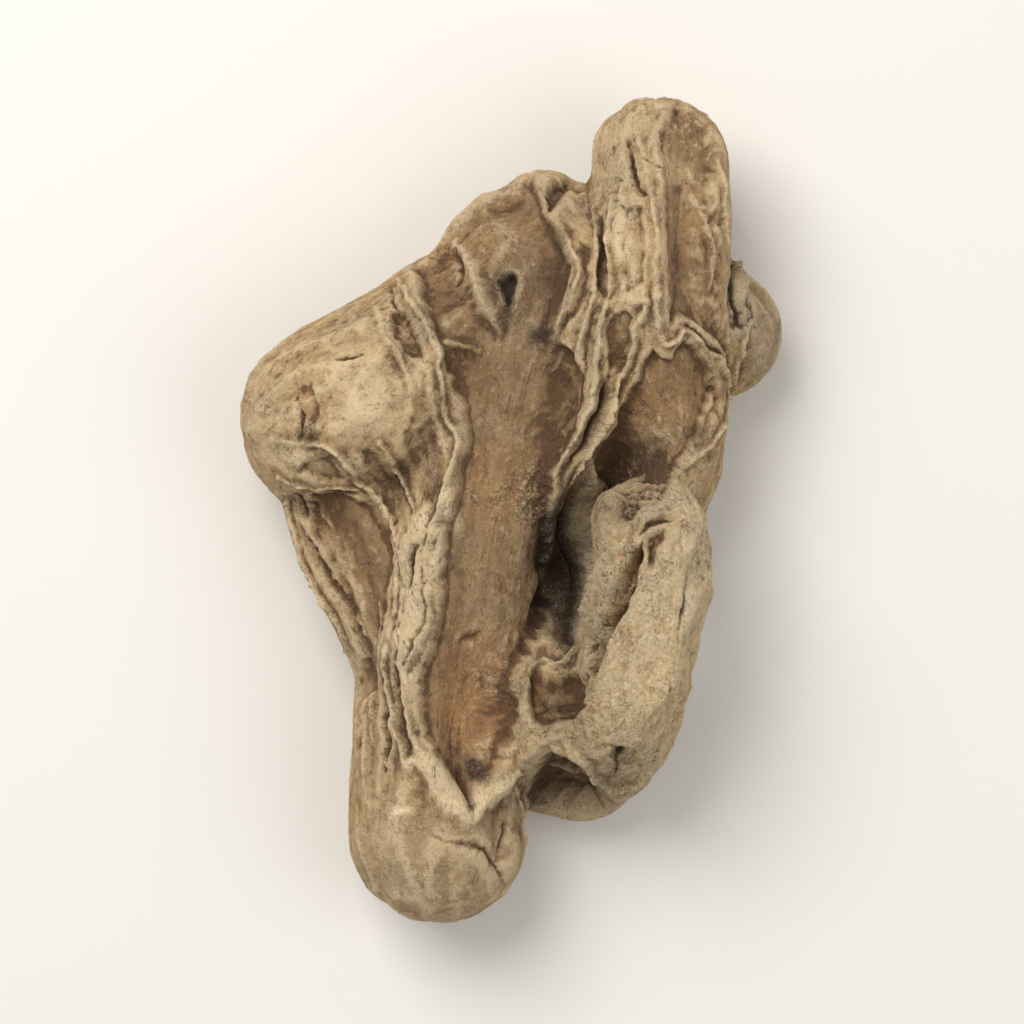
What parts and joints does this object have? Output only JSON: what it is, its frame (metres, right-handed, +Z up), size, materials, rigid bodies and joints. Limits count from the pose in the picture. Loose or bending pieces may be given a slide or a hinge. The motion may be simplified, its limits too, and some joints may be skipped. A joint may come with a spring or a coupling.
{
  "type": "dried ginger root",
  "caption": "Whole dried ginger rhizome: a furrowed trunk with a side lobe, a long top finger, a small knob and a stubby finger lying over it, resting on its flatter side.",
  "frame": {"origin": "on the surface that the root rests on, under the middle of its bounding box", "axes": "+Z up, from the resting side to the side that the picture shows; +Y along the trunk, from the rounded foot lobe to the top finger; +X towards the small knob and the stubby finger"},
  "size_m": [0.0624, 0.0948, 0.0279],
  "materials": {
    "dried_bark": null
  },
  "bodies": {
    "root": {"ginger_root": "dried_bark"}
  },
  "joints": []
}
